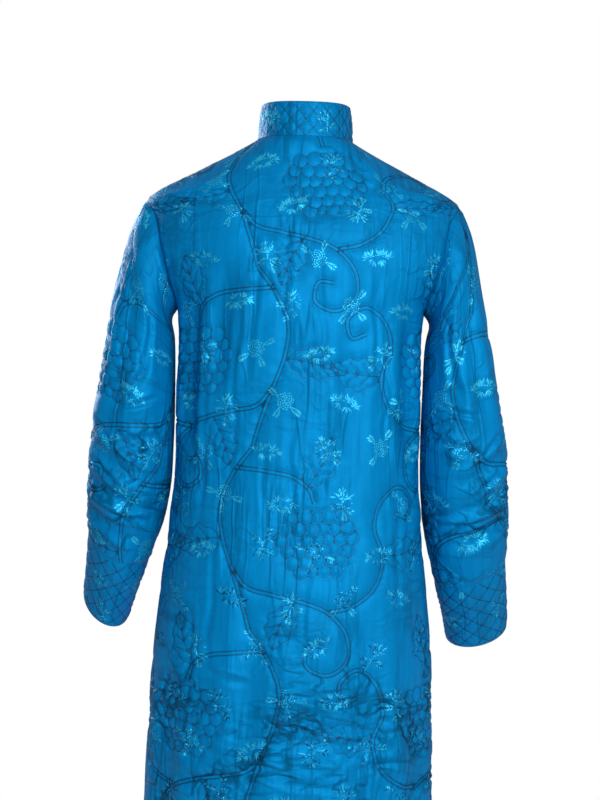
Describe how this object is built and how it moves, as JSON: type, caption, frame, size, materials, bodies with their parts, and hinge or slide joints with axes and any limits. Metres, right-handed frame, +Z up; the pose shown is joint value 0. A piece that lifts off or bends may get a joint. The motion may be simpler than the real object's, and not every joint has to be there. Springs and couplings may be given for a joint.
{
  "type": "cheongsam coat",
  "caption": "Long quilted satin coat with a stand collar, set-in sleeves, deep diamond-stitched cuffs, side pockets and corded frog closures, shown worn and hollow.",
  "frame": {"origin": "middle of the neck opening at the side of the neck, where the wearer's neck and shoulders carry the coat", "axes": "+Z up along the body, -Y to the wearer's front, +Y to the back, +X to the wearer's left"},
  "size_m": [0.6014, 0.2888, 1.1851],
  "materials": {
    "quilted_satin": "turquoise blue silk satin, stitched through thin wadding",
    "diamond_satin": "the same satin, stitched in small diamonds",
    "pocket_cloth": "dark navy plain pocket cloth",
    "satin_cord": "rolled satin cord"
  },
  "bodies": {
    "root": {"back": "quilted_satin", "front_left": "quilted_satin", "front_right": "quilted_satin", "sleeve_left": "quilted_satin", "sleeve_right": "quilted_satin", "cuff_left": "diamond_satin", "cuff_right": "diamond_satin", "collar": "diamond_satin", "pocket_left": "pocket_cloth", "pocket_right": "pocket_cloth", "frog_1_loop": "satin_cord", "frog_1_knot": "satin_cord", "frog_2_loop": "satin_cord", "frog_2_knot": "satin_cord", "frog_3_loop": "satin_cord", "frog_3_knot": "satin_cord", "frog_4_loop": "satin_cord", "frog_4_knot": "satin_cord", "frog_5_loop": "satin_cord", "frog_5_knot": "satin_cord"}
  },
  "joints": []
}
